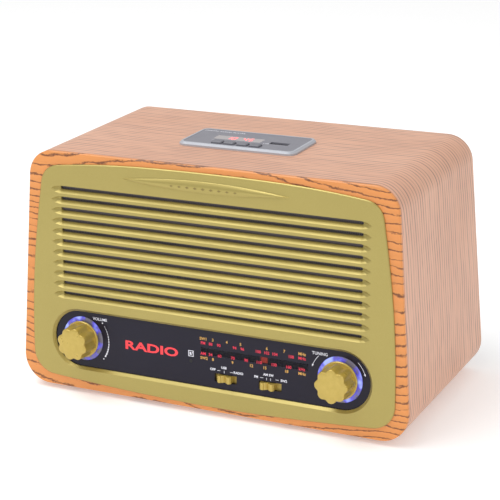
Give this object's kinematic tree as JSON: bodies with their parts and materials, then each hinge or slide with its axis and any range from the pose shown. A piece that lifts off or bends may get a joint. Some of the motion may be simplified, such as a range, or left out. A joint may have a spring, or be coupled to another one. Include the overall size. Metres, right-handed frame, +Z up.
{
  "type": "table radio",
  "caption": "Retro wooden table radio with a slotted gold front, dial tuner with two lit knobs, slide switches, digital top panel with keys, rear aerial and battery bay.",
  "frame": {"origin": "under the middle of the whole radio, on the surface that its rubber feet stand on", "axes": "+X to the right seen from the front, +Y to the back (the front faces -Y), +Z up"},
  "size_m": [0.2575, 0.152, 0.156],
  "materials": {
    "tan_veneer": "satin wood-grain film",
    "orange_veneer": "satin wood-grain film",
    "plain_wood": "raw",
    "foot_rubber": "matte",
    "gold_paint": "satin metallic paint",
    "knob_gold": "vacuum-plated gold",
    "black_mesh": "fine perforated",
    "dark_lens": "polished",
    "clear_lens": "polished acrylic",
    "black_plastic": "moulded",
    "black_plastic_hard": "moulded",
    "light_guide": "frosted, lit",
    "circuit_board": "solder mask",
    "plated_steel": "plated",
    "white_plastic": "moulded",
    "clear_case": "moulded",
    "cord": "braided",
    "red_pointer": "moulded",
    "black_steel": "black",
    "paper_cone": "pressed paper",
    "ferrite": "sintered",
    "copper_wire": "enamelled copper",
    "core_iron": "laminated",
    "silver_plastic": "satin silver paint",
    "grey_label": "printed film",
    "display_lens": "smoked",
    "grey_key": "moulded",
    "rear_plastic": "fine texture",
    "contact_steel": "nickel",
    "jack_plastic": "moulded",
    "aerial_chrome": "polished"
  },
  "bodies": {
    "cabinet": {"aerial_rests": "rear_plastic", "aux_jack": "jack_plastic", "battery_contacts": "contact_steel", "battery_tray": "black_plastic", "board_parts": "black_plastic", "cabinet_shell": "tan_veneer", "corner_blocks": "plain_wood", "dial_chassis": "black_plastic", "dial_cord": "cord", "dial_lens": "dark_lens", "display_module": "black_plastic", "display_window": "display_lens", "ferrite_coils": "copper_wire", "ferrite_holders": "black_plastic", "ferrite_rod": "ferrite", "front_bezel": "gold_paint", "front_board": "orange_veneer", "inner_screws": "plated_steel", "main_board": "circuit_board", "mains_inlet": "black_plastic", "module_board": "circuit_board", "pointer_window": "clear_lens", "rear_panel": "rear_plastic", "rear_screws": "black_steel", "ring_light_boards": "circuit_board", "rubber_feet": "foot_rubber", "slide_switches": "plated_steel", "speaker_basket": "black_steel", "speaker_cone": "paper_cone", "speaker_magnet": "ferrite", "speaker_mesh": "black_mesh", "tact_switches": "black_plastic", "top_panel_label": "grey_label", "top_panel_rim": "silver_plastic", "transformer_core": "core_iron", "transformer_winding": "copper_wire", "tuning_capacitor": "clear_case", "tuning_light_ring": "light_guide", "usb_socket": "plated_steel", "volume_light_ring": "light_guide", "volume_pot": "plated_steel"},
    "volume_control": {"volume_knob": "knob_gold", "volume_shaft": "plated_steel"},
    "tuning_control": {"tuning_knob": "knob_gold", "tuning_spindle": "plated_steel"},
    "drum": {"dial_drum": "white_plastic"},
    "pointer": {"dial_pointer": "red_pointer"},
    "upper_wheel": {"upper_idler": "white_plastic"},
    "lower_wheel": {"lower_idler": "white_plastic"},
    "function_button": {"function_slider": "knob_gold"},
    "band_button": {"band_slider": "knob_gold"},
    "aerial_swivel": {"aerial_base": "black_plastic_hard"},
    "aerial_outer": {"aerial_section_1": "aerial_chrome"},
    "aerial_middle": {"aerial_section_2": "aerial_chrome"},
    "aerial_tip": {"aerial_section_3": "aerial_chrome"},
    "battery_cover": {"battery_door": "rear_plastic"},
    "key_1_cap": {"key_1": "grey_key"},
    "key_2_cap": {"key_2": "grey_key"},
    "key_3_cap": {"key_3": "grey_key"},
    "key_4_cap": {"key_4": "grey_key"}
  },
  "joints": [
    {"name": "volume_turn", "type": "hinge", "parent": "cabinet", "child": "volume_control", "pos_m": [-0.0861, -0.06248, 0.0359], "axis": [0, 0.9986, -0.0529], "range_deg": [-150, 150]},
    {"name": "tuning_turn", "type": "hinge", "parent": "cabinet", "child": "tuning_control", "pos_m": [0.0861, -0.06248, 0.0359], "axis": [0, 0.9986, -0.0529], "range_deg": [-435, 275]},
    {"name": "drum_turn", "type": "hinge", "parent": "cabinet", "child": "drum", "pos_m": [-0.035, -0.06258, 0.03396], "axis": [0, 0.9986, -0.0529], "range_deg": [-112.5, 71.5]},
    {"name": "pointer_slide", "type": "slide", "parent": "cabinet", "child": "pointer", "axis": [1, 0, 0], "range_m": [-0.0382, 0.0242]},
    {"name": "upper_idler_turn", "type": "hinge", "parent": "cabinet", "child": "upper_wheel", "pos_m": [0.072, -0.06178, 0.04904], "axis": [0, 0.9986, -0.0529], "range_deg": [-497, 315]},
    {"name": "lower_idler_turn", "type": "hinge", "parent": "cabinet", "child": "lower_wheel", "pos_m": [0.078, -0.06338, 0.01888], "axis": [0, 0.9986, -0.0529], "range_deg": [-497, 315]},
    {"name": "function_switch_slide", "type": "slide", "parent": "cabinet", "child": "function_button", "axis": [1, 0, 0], "range_m": [-0.0026, 0.003]},
    {"name": "band_switch_slide", "type": "slide", "parent": "cabinet", "child": "band_button", "axis": [1, 0, 0], "range_m": [-0.0014, 0.0042]},
    {"name": "aerial_swivel_turn", "type": "hinge", "parent": "cabinet", "child": "aerial_swivel", "pos_m": [0.098, 0.07298, 0.121], "axis": [0, 1, 0], "range_deg": [0, 180]},
    {"name": "aerial_tilt", "type": "hinge", "parent": "aerial_swivel", "child": "aerial_outer", "pos_m": [0.098, 0.07298, 0.121], "axis": [0, 0, -1], "range_deg": [0, 90]},
    {"name": "aerial_middle_slide", "type": "slide", "parent": "aerial_outer", "child": "aerial_middle", "axis": [-1, 0, 0], "range_m": [0, 0.15]},
    {"name": "aerial_tip_slide", "type": "slide", "parent": "aerial_middle", "child": "aerial_tip", "axis": [-1, 0, 0], "range_m": [0, 0.15]},
    {"name": "battery_door_pull", "type": "slide", "parent": "cabinet", "child": "battery_cover", "axis": [0, 1, 0], "range_m": [0, 0.03]},
    {"name": "key_1_press", "type": "slide", "parent": "cabinet", "child": "key_1_cap", "axis": [0, 0, -1], "range_m": [0, 0.0008], "stiffness_N_per_m": 300},
    {"name": "key_2_press", "type": "slide", "parent": "cabinet", "child": "key_2_cap", "axis": [0, 0, -1], "range_m": [0, 0.0008], "stiffness_N_per_m": 300},
    {"name": "key_3_press", "type": "slide", "parent": "cabinet", "child": "key_3_cap", "axis": [0, 0, -1], "range_m": [0, 0.0008], "stiffness_N_per_m": 300},
    {"name": "key_4_press", "type": "slide", "parent": "cabinet", "child": "key_4_cap", "axis": [0, 0, -1], "range_m": [0, 0.0008], "stiffness_N_per_m": 300}
  ],
  "couplings": [
    {"joint": "pointer_slide", "follows": "tuning_turn", "m_per_rad": 0.005},
    {"joint": "drum_turn", "follows": "tuning_turn", "ratio": 0.25641},
    {"joint": "upper_idler_turn", "follows": "tuning_turn", "ratio": 1.1364},
    {"joint": "lower_idler_turn", "follows": "tuning_turn", "ratio": 1.1364}
  ]
}
